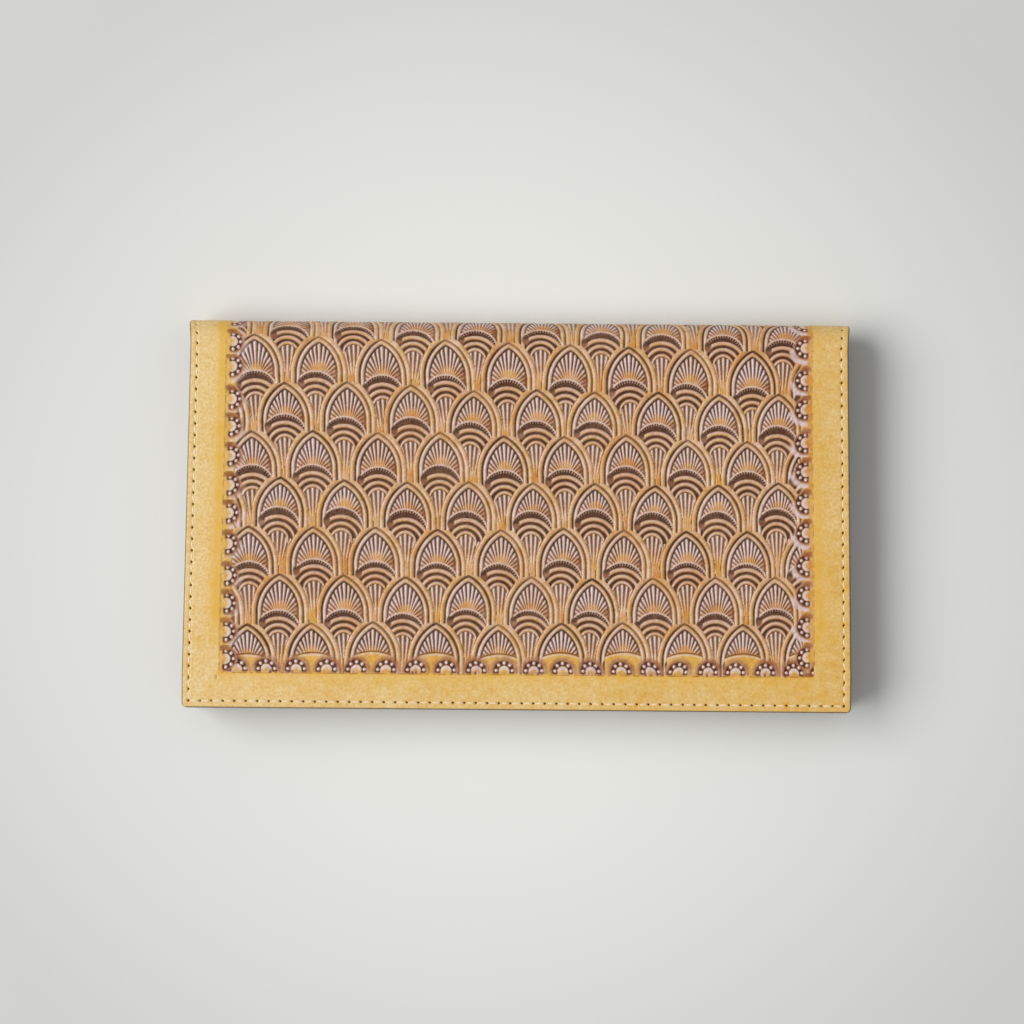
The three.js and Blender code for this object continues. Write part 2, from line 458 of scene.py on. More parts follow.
def add_flutes(look, stamp, au, av):
    """Adds the flutes from the arcs down to the next tip, and the ends of the arcs; the ribs have a painted
    highlight near the arcs.
    """
    last_ring, last_width = ARC_RINGS[-1]
    distance = np.hypot(au, av - ARC_CENTRE)
    fluted = (distance < last_ring - arc_width(last_width, au, av) - 0.1) | (av > ARC_CENTRE)
    run = np.clip((av - FLUTE_TOP) / (FLUTE_FOOT - FLUTE_TOP), 0.0, 1.0)
    rib = ribs(au / (FLUTE_PITCH * (1.0 - FLUTE_TAPER * run))) ** 1.1
    foot = smooth(0.38, 0.82, run)
    stained = smooth(0.0, 0.35, run - blend(0.38, 0.62, stamp["fade"]))
    lay_over(look, fluted, level=blend(0.08 + 0.84 * rib, 0.7 + 0.12 * rib, foot),
             amber=stained * blend(0.75, 1.0, stamp["tint"]), pale=0.65 * rib * smooth(0.75, 0.15, run),
             red=0.5 * (1.0 - rib) * smooth(0.05, 0.35, run) * (1.0 - foot),
             ink=0.85 - 0.7 * smooth(0.05, 0.5, run))
    for ring, width in ARC_RINGS:
        slim = arc_width(width, au, av)
        tail = band(np.abs(au) - ring + 0.5 * slim, 0.56 * slim) * (av >= ARC_CENTRE)
        lay_over(look, tail, level=0.94, amber=0.3, pale=0.1, red=0.0, ink=1.0)


def arch_motif(stamp):
    """Level of the arch stamp, from 0, deepest, to 1, the plain surface, and its dyes and painted
    highlights.
    """
    u, v = stamp["u"], stamp["v"]
    look = fan_look(stamp)
    au, av = u - stamp["arc_side"], v - stamp["arc_drop"]
    add_comb(look, au, av, stamp["force"])
    av = av + stamp["arc_lap"]
    add_arcs(look, au, av, stamp["tint"])
    add_flutes(look, stamp, au, av)
    inside = smooth(ARCH_INSIDE - 0.08, ARCH_INSIDE + 0.08, stamp["d"])
    lay_over(look, 1.0 - inside, **arch_edge(stamp, smooth(-1.5, 4.0, -u)))

    # Dye that thins out leaves red-brown; the dark patch at the left end of the comb is partly gathered dye
    # and partly painted shade
    ink = look.pop("ink")
    deep = 1.0 - smooth(0.02, 0.66, look["level"])
    look["dye"] = np.clip(1.4 * deep, 0.0, 1.0) * ink * blend(0.9, 1.0, stamp["force"])
    look["red"] = np.maximum(look["red"], 0.8 * deep * (1.0 - ink))
    dye_and_shade_patch = smooth(1.15, 0.55, np.hypot((u + PATCH_SIDE) / 1.15, (av - PATCH_DROP) / 1.6))
    low = smooth(PATCH_DROP - 0.6, PATCH_DROP + 0.8, av)
    lay_over(look, dye_and_shade_patch, level=0.3, dye=0.95 - 0.7 * low, red=0.3 + 0.6 * low, amber=0.0, pale=0.0)
    return look


def close_first_row(look, stamp):
    """Closes the row at the front's open edge by a shallow arc; gives the closed share."""
    drop = stamp["v"] - CLOSING_DROP - stamp["u"] ** 2 / (2.0 * CLOSING_RADIUS)
    closing = smooth(-0.55, -0.35, drop) * (stamp["row"] == 0) * smooth(1.0, 1.4, stamp["d"])
    score = ridge(drop + 0.22, 0.34)
    # A painted highlight on the crest above the scored arc.
    crest = ridge(drop - 0.35, 0.45)
    lay_over(look, closing, level=0.86 + 0.1 * crest - 0.8 * score, dye=0.55 * score,
             amber=0.85 - 0.6 * crest, pale=0.45 * crest, red=0.9 * score)
    return closing


# Border of the stamped field


def field_half_width(end):
    """Half width of the stamped field, which draws in towards the fold."""
    return blend(FIELD_SIDE_HIGH, FIELD_SIDE_LOW, smooth(FLAT_LENGTH, FIELD_END, end))


def shell_place(position, inward, line, shells):
    """Place along and inward from the nearest shell of a line, each a little off by hand."""
    start, pitch, inset = shells
    rng = np.random.default_rng(SEED + 3)
    jitter = rng.normal(0.0, SHELL_JITTER, DRAWS)
    number = np.round((position - start) / pitch).astype(int)
    lean = SHELL_LEAN * jitter[(7 * number + line) % DRAWS]
    off = jitter[(number + 31 * line) % DRAWS] + lean * (inward - inset)
    return position - start - pitch * number - off, inward - inset


def shell_motif(look, along, inward, darkness, halo):
    """Adds half rings of five pearls round domes; the rims of the domes have a painted highlight, and the
    pearls are pale partly by their tone and partly by painted highlight.
    """
    radius = np.hypot(along, inward)
    angle = np.degrees(np.arctan2(along, inward))
    pearl = np.clip(np.round(angle / PEARL_DEGREES), -2, 2) * math.radians(PEARL_DEGREES)
    gap = np.hypot(along - PEARL_RING * np.sin(pearl), inward - PEARL_RING * np.cos(pearl))
    bead = np.sqrt(np.clip(1.0 - (gap / PEARL_RADIUS) ** 2, 0.0, 1.0))
    dome = smooth(SHELL_DOME + 0.15, SHELL_DOME - 0.2, radius) * smooth(-1.1, 0.2, inward)
    within = smooth(SHELL_DOME - 0.15, SHELL_DOME + 0.25, radius) * smooth(-1.2, -0.3, inward)
    bed = within * smooth(PEARL_RING + 1.0, PEARL_RING + 0.35, radius)
    stain = within * smooth(PEARL_RING + 1.7 + halo, PEARL_RING + 0.7 + 0.4 * halo, radius)
    between = (1.0 - smooth(0.1, 0.6, bead)) * (1.0 - dome)
    bead_tone_and_highlight = (1.25 - 0.55 * darkness) * smooth(0.1, 0.7, bead)
    dome_highlight = 0.8 * dome * smooth(0.3, 1.0, radius) * smooth(-0.6, 0.6, inward)
    cover = np.maximum(np.maximum(np.maximum(bed, 0.8 * stain), dome), smooth(0.0, 0.3, bead))
    lay_over(look, cover,
             level=np.maximum(0.9 - 0.84 * bed + 0.8 * bed * bead, 0.9 * dome),
             dye=darkness * bed * between,
             amber=0.7 * dome * smooth(1.1, 0.4, radius),
             pale=np.maximum(bead_tone_and_highlight, dome_highlight),
             red=between)


def bare_sides(look, bare, along, inward, on_right):
    """Bares the leather between the side shells, with a shine round each."""
    lay_over(look, bare, level=0.92, dye=0.0, amber=np.where(on_right, 0.95, 0.85), pale=0.0, red=0.0)
    around = np.hypot(along, inward)
    shine = smooth(2.9, 3.4, around) * smooth(5.2, 4.3, around) * smooth(0.6, -1.2, along)
    shine *= smooth(-0.8, 0.2, inward) * np.where(on_right, 0.85, 0.4)
    lay_over(look, shine, level=0.9, dye=0.0, amber=0.0, pale=1.0, red=0.0)


def add_shells(look, x, inward_end, along, inward, on_right):
    """Adds the shells, with dye smeared over those of the sides."""
    bowed = x - END_BOW * (1.0 - (x / HALF_WIDTH) ** 2)
    shell_motif(look, *shell_place(bowed, inward_end, 2, END_SHELLS), END_DARKNESS, END_HALO)
    shell_motif(look, along, inward, np.where(on_right, 1.0, 0.85), 0.0)
    smear = smooth(1.3, 0.5, np.hypot(along - SMEAR_ALONG, (inward + 0.2) / 1.7))
    smear *= np.where(on_right, 0.7, 0.85)
    lay_over(look, smear, level=0.55, dye=0.2, amber=0.9, pale=0.0, red=1.0)


def add_border(look, end, inward_side, on_right, uneven):
    """Adds the plain border and its scored line; gives the share of the field."""
    inward_end = end - FIELD_END
    inward = np.minimum(inward_end, inward_side)
    by_side = inward_side < inward_end
    field = smooth(-0.12, 0.18, inward)
    line = ridge(inward + 0.08, 0.26) * smooth(-1.2, 0.8, uneven) * np.where(by_side & ~on_right, 0.5, 1.0)
    side_streak = np.where(on_right, blend(0.6, 0.2, smooth(30.0, 100.0, end)), 0.74)
    streak = np.where(by_side, side_streak * smooth(10.0, 27.0, end), 0.3)
    spread = 0.5 * smooth(-8.0, -2.0, inward) + 0.5 * smooth(-4.2, -1.7, inward)
    glow = np.where(by_side, 0.15, 0.5) * smooth(-1.1, -0.1, inward)
    amber = streak * spread * smooth(0.6, -0.8, inward) + glow + 0.12
    lay_over(look, 1.0 - field, level=1.0, dye=0.0, amber=amber, pale=0.0, red=0.0)
    look["level"] -= 0.12 * line
    look["red"] = np.maximum(look["red"], 0.9 * line)
    return field


def add_tick(look, x, s):
    """Adds the short cut of a slipped tool at the field's corner."""
    tick = ridge(x - TICK_PLACE[0] + 0.1 * (s - TICK_PLACE[1]), 0.3) * ridge(s - TICK_PLACE[1], 1.1)
    look["red"] = np.maximum(look["red"], 0.8 * tick)
    look["level"] -= 0.4 * tick


def stitch_offset(position, start, pitch):
    """Distance along a seam to the nearest hole."""
    step = (position - start) / pitch
    return (step - np.round(step)) * pitch


def seam_marks(x, s):
    """Shares of the sewn groove and the holes."""
    off_side = HALF_WIDTH - np.abs(x) - SEAM_INSET
    off_end = from_end(s) + COVER_OVERHANG - SEAM_INSET
    on_side = ridge(off_side, GROOVE_HALF) * (off_end > -0.2)
    on_end = ridge(off_end, GROOVE_HALF) * (off_side > -0.2)
    groove = np.maximum(on_side, on_end)
    side_along = stitch_offset(s, SEAM_START, SIDE_PITCH)
    end_along = stitch_offset(x, SEAM_INSET - HALF_WIDTH, END_PITCH)
    holes = np.zeros_like(x)
    for along, off in ((side_along, off_side), (end_along, off_end)):
        reach = np.hypot(along / HOLE_ALONG, (off + HOLE_SLANT * along) / HOLE_ACROSS)
        holes = np.maximum(holes, ridge(reach, 1.0))
    return groove, holes * (groove > 0.05)


def cover_look(x, s):
    """Depth below the smooth cover, and the dyes, with painted highlights and painted shade in the stitch
    holes.
    """
    stamp = find_stamps(x, s)
    look = arch_motif(stamp)
    closing = close_first_row(look, stamp)
    end = from_end(s)
    on_right = x > 0.0
    inward_side = field_half_width(end) - np.abs(x)
    left_place = shell_place(s, inward_side, 0, LEFT_SHELLS)
    right_place = shell_place(s, inward_side, 1, RIGHT_SHELLS)
    along, inward = np.where(on_right, right_place, left_place)
    bare = smooth(3.9, 2.4, inward_side)
    bare_sides(look, bare, along, inward, on_right)
    add_shells(look, x, end - FIELD_END, along, inward, on_right)

    uneven = hand_unevenness(x, s)
    look["level"] *= 1.0 - 0.1 * np.clip(uneven + 0.4, 0.0, 1.5)
    look["dye"] = np.clip(look["dye"] + 0.1 * np.clip(uneven - 0.2, 0.0, 1.5), 0.0, 1.0)
    field = add_border(look, end, inward_side, on_right, uneven)
    add_tick(look, x, s)
    undyed = np.maximum(bare * np.where(on_right, 0.3, 0.85), 0.7 * closing)
    look["field"] = field * (1.0 - undyed)

    groove, holes = seam_marks(x, s)
    edge = np.minimum(HALF_WIDTH - np.abs(x), end + COVER_OVERHANG)
    stretched = smooth(FLAT_LENGTH - 2.0, FLAT_LENGTH + 6.0, end)
    depth = STAMP_DEPTH * (1.0 - FOLD_STRETCH * stretched) * (1.0 - np.clip(look.pop("level"), 0.0, 1.0))
    depth += GROOVE_DEPTH * groove + HOLE_DEPTH * holes
    look["burnish"] = smooth(0.55, 0.1, edge)
    # The holes get painted shade.
    look["hole"] = smooth(0.25, 0.75, holes)
    return np.maximum(depth, edge_roll(edge, COVER_ROUNDING)) + COVER_SINK, look


# Sheets


def bend_angle(s):
    """Angle round the fold, from 0 on the front to pi on the back."""
    return np.clip((s - FLAT_LENGTH) / BEND_RADIUS, 0.0, math.pi)


def surface_point(s, depth):
    """y and z at a depth under the outer face."""
    phi = bend_angle(s)
    before = np.maximum(FLAT_LENGTH - s, 0.0)
    after = np.maximum(s - FLAT_LENGTH - BEND_LENGTH, 0.0)
    y = BEND_CENTRE_Y - before - after + (BEND_RADIUS - depth) * np.sin(phi)
    z = BEND_RADIUS + (BEND_RADIUS - depth) * np.cos(phi)
    return y, z


def inner_point(s, depth):
    """y and z at a depth over the lining's face."""
    return surface_point(s, LINING_INSIDE - depth)


def waist_pull(x, s):
    """How far the border draws in towards the fold, where it flares again."""
    reach = np.clip(from_end(s), WAIST_START, FLAT_LENGTH) - WAIST_START
    waist = WAIST_SLOPE * reach - WAIST_FLARE * np.sin(bend_angle(s)) ** 2
    return np.sign(x) * waist * smooth(FIELD_SIDE_HIGH, FIELD_SIDE_HIGH + WAIST_REACH, np.abs(x))


def corner_pull(x, edge):
    """How far a point moves in to round the corners at an open edge."""
    near_side = smooth(HALF_WIDTH - CORNER_REACH, HALF_WIDTH, np.abs(x))
    return np.sign(x) * edge_roll(edge, CORNER_RADIUS) * near_side


def graded(*stretches):
    """Grid lines through stretches of (start, end, step)."""
    lines = []
    for start, end, step in stretches:
        count = max(1, int(round((end - start) / step)))
        lines.append(np.linspace(start, end, count + 1)[:-1])
    lines.append(np.array([stretches[-1][1]]))
    return np.concatenate(lines)


def with_sides(inner, step, *stretches):
    """Columns that are even in the middle and graded at both sides."""
    side = graded(*stretches)
    return np.concatenate((-side[:0:-1], graded((-inner, inner, step)), side[1:]))


def link(obj):
    bpy.context.scene.collection.objects.link(obj)
    return obj


def mesh_object(name, points, faces, smooth_faces, values, flat, bake_map=None):
    """A mesh from points in millimetres; each group of faces is one index array."""
    mesh = bpy.data.meshes.new(name)
    indices = np.concatenate([group.ravel() for group in faces]).astype(np.int32)
    totals = np.concatenate([np.full(len(group), group.shape[1]) for group in faces])
    starts = np.concatenate(([0], np.cumsum(totals)[:-1])).astype(np.int32)
    mesh.vertices.add(len(points))
    mesh.vertices.foreach_set("co", (points * MM).astype(np.float32).ravel())
    mesh.loops.add(len(indices))
    mesh.loops.foreach_set("vertex_index", indices)
    mesh.polygons.add(len(starts))
    mesh.polygons.foreach_set("loop_start", starts)
    shading = np.concatenate([np.full(len(group), on) for group, on in zip(faces, smooth_faces)])
    mesh.polygons.foreach_set("use_smooth", shading.astype(bool))
    mesh.update(calc_edges=True)
    mesh.validate()
    for key, value in values.items():
        mesh.attributes.new(key, "FLOAT", "POINT").data.foreach_set("value", value.astype(np.float32))
    vectors = mesh.attributes.new("flat", "FLOAT_VECTOR", "POINT")
    vectors.data.foreach_set("vector", flat.astype(np.float32).ravel())
    if bake_map is not None:
        places = np.concatenate([group.reshape(-1, 2) for group in bake_map]).astype(np.float32)
        mesh.uv_layers.new(name=BAKE_MAP).uv.foreach_set("vector", places.ravel())
    return link(bpy.data.objects.new(name, mesh))


def grid_quads(grid):
    """Quads between the points of a grid of indices."""
    corners = (grid[:-1, :-1], grid[:-1, 1:], grid[1:, 1:], grid[1:, :-1])
    return np.column_stack([corner.ravel() for corner in corners])


def quad_places(*corners):
    """Places of quads on the bake map, from the across and up values of each corner."""
    return np.stack([np.column_stack(np.broadcast_arrays(*corner)) for corner in corners], axis=1)


class Sheet:
    """A closed leather sheet on a grid of columns and rows.

    look(x, s) gives the depth and values of its face, place(s, depth) its y and z. Its rows give s,
    from the back's open edge where from_back is true. An end is open, a free edge, or a cut."""

    def __init__(self, columns, rows, look, thickness, place, open_ends, from_back=False):
        self.x, self.row = (part.ravel() for part in np.meshgrid(columns, rows))
        self.grid = np.arange(self.x.size).reshape(len(rows), len(columns))
        self.thickness = thickness
        self.place = place
        self.open_ends = open_ends
        self.from_back = from_back
        depth, self.values = look(self.x, self.along(self.row))
        edge = np.full(self.x.size, CORNER_RADIUS)
        for is_open, end in zip(open_ends, (rows[0], rows[-1])):
            if is_open:
                edge = np.minimum(edge, np.abs(self.row - end))
        self.plan_x = self.x - corner_pull(self.x, edge) - waist_pull(self.x, self.row)
        self.points = np.column_stack((self.plan_x, *place(self.along(self.row), depth)))
        self.flat = np.column_stack((self.x, self.row, np.zeros_like(self.x)))
        self.low = np.zeros((len(WALL_STEPS), self.x.size), int)
        self.groups = []

    def along(self, row):
        return SHEET_LENGTH - row if self.from_back else row

    def add(self, faces, shaded, places):
        """Adds faces with equal numbers of corners, and their places on the bake map."""
        self.groups.append((faces, shaded, places))

    def across(self, x):
        """Place of x across the bake map."""
        return MAP_EDGE + MAP_SPAN * (x - self.x[0]) / (self.x[-1] - self.x[0])

    def add_face(self):
        faces = grid_quads(self.grid)
        start, height = FACE_STRIP
        up = start + height * (self.row - self.row[0]) / (self.row[-1] - self.row[0])
        self.add(faces, True, np.column_stack((self.across(self.x), up))[faces])

    def rim_paths(self):
        """Rim in order: all round, round three sides, or the two sides apart."""
        left, right = self.grid[::-1, 0], self.grid[:, -1]
        if not self.open_ends[0]:
            return [left, right]
        last = self.grid[-1, -2:0:-1] if self.open_ends[1] else self.grid[-1, :0]
        return [np.concatenate((left, self.grid[0, 1:], right[1:], last))]

    def add_rim(self, path, number):
        """Adds the points of one wall step under the rim, and gives their indices."""
        share, inset = WALL_STEPS[number][:2]
        first_open, last_open = self.open_ends
        x, row = self.x[path], self.row[path]
        inward_x = 1.0 * (x == self.x[0]) - (x == self.x[-1])
        inward_row = 1.0 * first_open * (row == self.row[0]) - last_open * (row == self.row[-1])
        depth = np.full(len(path), self.thickness * share)
        places = self.place(self.along(row + inset * inward_row), depth)
        below = len(self.points) + np.arange(len(path))
        self.low[number, path] = below
        added = np.column_stack((self.plan_x[path] + inset * inward_x, *places))
        self.points = np.concatenate((self.points, added))
        self.flat = np.concatenate((self.flat, np.column_stack((x, row, depth))))
        for key, value in self.values.items():
            self.values[key] = np.append(value, np.full(len(path), float(key == "burnish")))
        return below

    def add_walls(self):
        paths = self.rim_paths()
        for number, path in enumerate(paths):
            here = np.arange(len(path) if all(self.open_ends) else len(path) - 1)
            after = (here + 1) % len(path)
            width = MAP_SPAN / len(paths) / len(path)
            near = MAP_EDGE + MAP_SPAN * number / len(paths) + width * here
            far = near + width
            above = path
            for step, (_, _, top, foot) in enumerate(WALL_STEPS):
                below = self.add_rim(path, step)
                faces = np.column_stack((above[after], above[here], below[here], below[after]))
                self.add(faces, True, quad_places((far, top), (near, top), (near, foot), (far, foot)))
                above = below

    def add_underside(self):
        """Adds strips from side to side, apart from those at an open edge."""
        first = int(self.open_ends[0])
        last = len(self.grid) - int(self.open_ends[1])
        left, right = (self.low[-1, self.grid[first:last, side]] for side in (0, -1))
        faces = np.column_stack((left[:-1], left[1:], right[1:], right[:-1]))
        start, height = UNDER_STRIP
        up = start + height * np.arange(len(faces)) / len(faces)
        top = up + height / len(faces)
        far = MAP_EDGE + MAP_SPAN
        self.add(faces, False, quad_places((MAP_EDGE, up), (MAP_EDGE, top), (far, top), (far, up)))

    def add_caps(self):
        """Adds the last strip at an open edge, or the cut through the leather."""
        upper, lower = self.low
        lines = ((self.grid[0, ::-1], self.grid[1, ::-1]), (self.grid[-1], self.grid[-2]))
        for (line, beyond), is_open, (start, height) in zip(lines, self.open_ends, CAP_STRIPS):
            if is_open:
                cap = np.concatenate((lower[line], lower[beyond[[-1, 0]]]))
                raised = self.flat[cap, 1] != self.flat[cap[0], 1]
            else:
                cap = np.concatenate((line, upper[line[-1:]], lower[line[[-1, 0]]], upper[line[:1]]))
                raised = self.flat[cap, 2] == 0.0
            places = np.column_stack((self.across(self.flat[cap, 0]), start + height * raised))
            self.add(cap[None], False, places[None])

    def build(self, name, reverse):
        """The mesh object, with its faces turned over where reverse is true."""
        self.add_face()
        self.add_walls()
        self.add_underside()
        self.add_caps()
        faces, shaded, maps = zip(*self.groups)
        if reverse:
            faces = [group[:, ::-1] for group in faces]
            maps = [places[:, ::-1] for places in maps]
        return mesh_object(name, self.points, faces, shaded, self.values, self.flat, maps)


# Shader helpers


class Tree:
    """Short ways to add and join nodes; colours are display values."""

    def __init__(self, name):
        self.material = bpy.data.materials.new(name)
        self.material.use_nodes = True
        self.nodes = self.material.node_tree.nodes
        self.links = self.material.node_tree.links
        self.shader = self.nodes["Principled BSDF"]

    def join(self, value, socket):
        if isinstance(value, bpy.types.NodeSocket):
            self.links.new(value, socket)
        else:
            socket.default_value = linear(value) if socket.type == "RGBA" else value

    def node(self, kind, output, inputs=(), **settings):
        """Adds a node with its inputs and settings, and gives one of its outputs."""
        made = self.nodes.new("ShaderNode" + kind)
        for key, value in settings.items():
            setattr(made, key, value)
        for key, value in dict(inputs).items():
            self.join(value, made.inputs[key])
        return made.outputs[output]

    def attribute(self, name, output="Fac"):
        return self.node("Attribute", output, attribute_name=name)

    def noise(self, vector, scale, detail=3.0, roughness=0.55):
        inputs = {"Vector": vector, "Scale": scale, "Detail": detail, "Roughness": roughness}
        return self.node("TexNoise", "Fac", inputs)

    def remap(self, value, low, high, to_low=0.0, to_high=1.0):
        inputs = {"Value": value, "From Min": low, "From Max": high, "To Min": to_low, "To Max": to_high}
        return self.node("MapRange", "Result", inputs)

    def maths(self, operation, first, second):
        return self.node("Math", "Value", {0: first, 1: second}, operation=operation, use_clamp=True)

    def mix(self, share, first, second):
        return self.node("Mix", 2, {0: share, 6: first, 7: second}, data_type="RGBA")

    def coats(self, colour, *coats):
        """Lays coats of (share, colour) over a colour."""
        for share, over in coats:
            colour = self.mix(share, colour, over)
        return colour

    def bump(self, height, distance, strength):
        return self.node("Bump", "Normal", {"Height": height, "Distance": distance, "Strength": strength})

    def set(self, **values):
        for key, value in values.items():
            self.join(value, self.shader.inputs[key.replace("_", " ")])


# Materials


def plain_colour(tree, flat, cloud, mottle, speck):
    """The plain border, deeper towards the right and the open edges."""
    x = tree.node("SeparateXYZ", "X", {0: flat})
    s = tree.node("SeparateXYZ", "Y", {0: flat})
    depth = tree.remap(x, -HALF_WIDTH, HALF_WIDTH, 0.0, 0.52)
    depth = tree.maths("ADD", depth, tree.remap(cloud, 0.35, 0.65, -0.15, 0.2))
    depth = tree.maths("ADD", depth, tree.remap(s, 0.0, 60.0, 0.15, 0.0))
    depth = tree.maths("ADD", depth, tree.remap(mottle, 0.3, 0.7, -0.3, 0.36))
    colour = tree.mix(depth, PLAIN_PALE, PLAIN_DEEP)
    return tree.mix(tree.remap(speck, 0.4, 0.66, 0.0, 0.5), colour, PLAIN_SPECK)


def blotch_colour(tree, cloud, mottle, patch):
    """The raised leather of the field."""
    return tree.coats(
        BAND,
        (tree.remap(mottle, 0.38, 0.62), BAND_DEEP),
        (tree.remap(patch, 0.45, 0.65, 0.0, 0.5), BAND_PINK),
        (tree.remap(cloud, 0.45, 0.62, 0.0, 0.4), BAND_DEEP))


def amber_stain(tree, colour, field, cloud, patch):
    """Amber stain over a colour, worn in patches."""
    worn = tree.remap(patch, 0.35, 0.62, 0.0, 0.55)
    worn = tree.maths("MULTIPLY", worn, tree.remap(field, 0.0, 1.0, 0.45, 1.0))
    amber = tree.maths("MULTIPLY", tree.attribute("amber"), tree.maths("SUBTRACT", 1.0, worn))
    orange = tree.mix(tree.remap(cloud, 0.4, 0.6), AMBER_FIELD, AMBER_DEEP)
    return tree.mix(amber, colour, tree.mix(field, AMBER_PLAIN, orange))


def cover_leather():
    tree = Tree("cover_leather")
    flat = tree.attribute("flat", "Vector")
    cloud = tree.noise(flat, 0.045, 3.0)
    mottle = tree.noise(flat, 0.35, 4.0, 0.6)
    speck = tree.noise(flat, 1.2, 4.0, 0.7)
    patch = tree.noise(flat, 0.16, 2.0)
    field = tree.attribute("field")
    colour = plain_colour(tree, flat, cloud, mottle, speck)
    blotch = blotch_colour(tree, cloud, mottle, patch)
    colour = tree.mix(tree.maths("MULTIPLY", field, 0.85), colour, blotch)
    grime = tree.remap(tree.noise(flat, 3.0, 2.0), 0.45, 0.7, 0.0, 0.34)
    red = tree.maths("MULTIPLY", tree.attribute("red"), tree.remap(mottle, 0.3, 0.65, 0.6, 1.0))
    dye = tree.maths("MULTIPLY", tree.attribute("dye"), tree.remap(speck, 0.3, 0.6, 0.88, 1.0))
    colour = tree.coats(
        amber_stain(tree, colour, field, cloud, patch),
        # pale: painted highlight, on the pearls partly their pale tone
        (tree.attribute("pale"), PALE_HIGHLIGHT),
        (tree.maths("MULTIPLY", grime, field), RED_BROWN),
        (red, RED_BROWN),
        (dye, tree.mix(tree.remap(mottle, 0.42, 0.58), DARK_WARM, DARK_COOL)),
        (tree.attribute("burnish"), EDGE_DARK),
        # hole: painted shade inside the stitch holes
        (tree.attribute("hole"), HOLE_SHADE))
    grain = tree.maths("ADD", tree.noise(flat, 2.6, 2.0), tree.remap(speck, 0.0, 1.0, 0.0, 0.35))
    tree.set(Base_Color=colour, Roughness=tree.remap(mottle, 0.3, 0.7, 0.42, 0.58), Specular_IOR_Level=0.28,
             Coat_Weight=0.12, Coat_Roughness=0.3, Normal=tree.bump(grain, 0.00006, 0.5))
    return tree.material


def sheet_leather(name, colours, rough):
    """Plain leather with dark pores and edges."""
    pale, deep, edge = colours
    tree = Tree(name)
    flat = tree.attribute("flat", "Vector")
    cloud = tree.noise(flat, 0.05, 5.0, 0.7)
    mottle = tree.noise(flat, 0.55, 4.0, 0.65)
    pores = tree.noise(flat, 3.2, 2.0)
    shade = tree.remap(cloud, 0.3, 0.7, 0.0, 0.55)
    shade = tree.maths("ADD", shade, tree.remap(mottle, 0.3, 0.7, 0.0, 0.45))
    pored = tree.remap(pores, 0.35, 0.62, 0.3, 0.0)
    colour = tree.coats(pale, (shade, deep), (pored, edge), (tree.attribute("burnish"), edge))
    tree.set(Base_Color=colour, Roughness=tree.remap(cloud, 0.3, 0.7, rough - 0.08, rough + 0.08),
             Normal=tree.bump(pores, 0.00008, 0.6))
    return tree.material


def hem_leather():
    tree = Tree("hem_leather")
    place = tree.node("TexCoord", "Object")
    fibres = tree.noise(place, 900.0, 4.0, 0.65)
    cloud = tree.noise(place, 90.0, 3.0)
    colour = tree.mix(tree.remap(fibres, 0.35, 0.65), HEM_TAN, HEM_DARK)
    colour = tree.mix(tree.remap(cloud, 0.4, 0.7, 0.0, 0.5), colour, HEM_WORN)
    tree.set(Base_Color=colour, Roughness=tree.remap(fibres, 0.3, 0.7, 0.45, 0.65),
             Normal=tree.bump(fibres, 0.0001, 0.5))
    return tree.material


def thread_material():
    tree = Tree("seam_thread")
    flat = tree.attribute("flat", "Vector")
    ply = tree.node("TexWave", "Fac", {"Vector": flat, "Scale": 1.1, "Distortion": 0.6},
                    bands_direction="DIAGONAL")
    fibre = tree.noise(flat, 6.0, 2.0)
    colour = tree.mix(tree.remap(ply, 0.1, 0.9, 0.0, 0.7), THREAD_CREAM, THREAD_TAN)
    colour = tree.mix(tree.remap(fibre, 0.35, 0.7, 0.0, 0.4), colour, THREAD_FUZZ)
    tree.set(Base_Color=colour, Roughness=tree.remap(fibre, 0.3, 0.7, 0.5, 0.7),
             Normal=tree.bump(ply, 0.00005, 0.4))
    return tree.material


# Pieces


def bend_with(piece):
    """Bakes a piece's transform into its mesh."""
    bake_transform(piece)


def dress(piece, material, slot, *nodes):
    """Gives a piece its material and lets it stand for solids, which it hides; slot is not used."""
    piece.data.materials.append(material)
    if nodes:
        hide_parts(*nodes)


def build_layer(layer, name, columns, rows, look, thickness, place, inside, material):
    """The four pieces of a layer; the last starts at the open edge of the back."""
    nodes = ((f"{layer}_front", f"fold_{layer}_3"), (f"fold_{layer}_2",), (f"fold_{layer}_1",),
             (f"{layer}_back",))
    for number, part in enumerate(PARTS):
        from_back = part == "back"
        open_ends = (from_back or part == "front", False)
        sheet = Sheet(columns[number], rows[number], look, thickness, place, open_ends, from_back)
        piece = sheet.build(f"{name}_{part}", inside != from_back)
        bend_with(piece)
        dress(piece, material, f"{layer}_leather", *nodes[number])


def cover_columns(step):
    seam = HALF_WIDTH - SEAM_BAND
    inner = FIELD_SIDE_LOW + 0.8
    return with_sides(inner, step, (inner, seam, MARGIN_STEP), (seam, HALF_WIDTH, SEAM_STEP))


def cover_rows(step):
    """Rows from an open edge to the first cut of the fold."""
    margin = FIELD_END - 0.5
    return graded((-COVER_OVERHANG, SEAM_BAND, SEAM_STEP), (SEAM_BAND, margin, MARGIN_STEP),
                  (margin, CUTS[0], step))


def build_cover(material):
    """The stamped cover; its back half has a coarser grid."""
    steps = (FINE_STEP, FINE_STEP, BACK_STEP, BACK_STEP)
    columns = [cover_columns(step) for step in steps]
    rows = (cover_rows(FINE_STEP), graded((CUTS[0], CUTS[1], FINE_STEP)),
            graded((CUTS[1], CUTS[2], BACK_STEP)), cover_rows(BACK_STEP))
    build_layer("cover", "stamped_cover", columns, rows, cover_look, COVER_THICKNESS, surface_point,
                False, material)


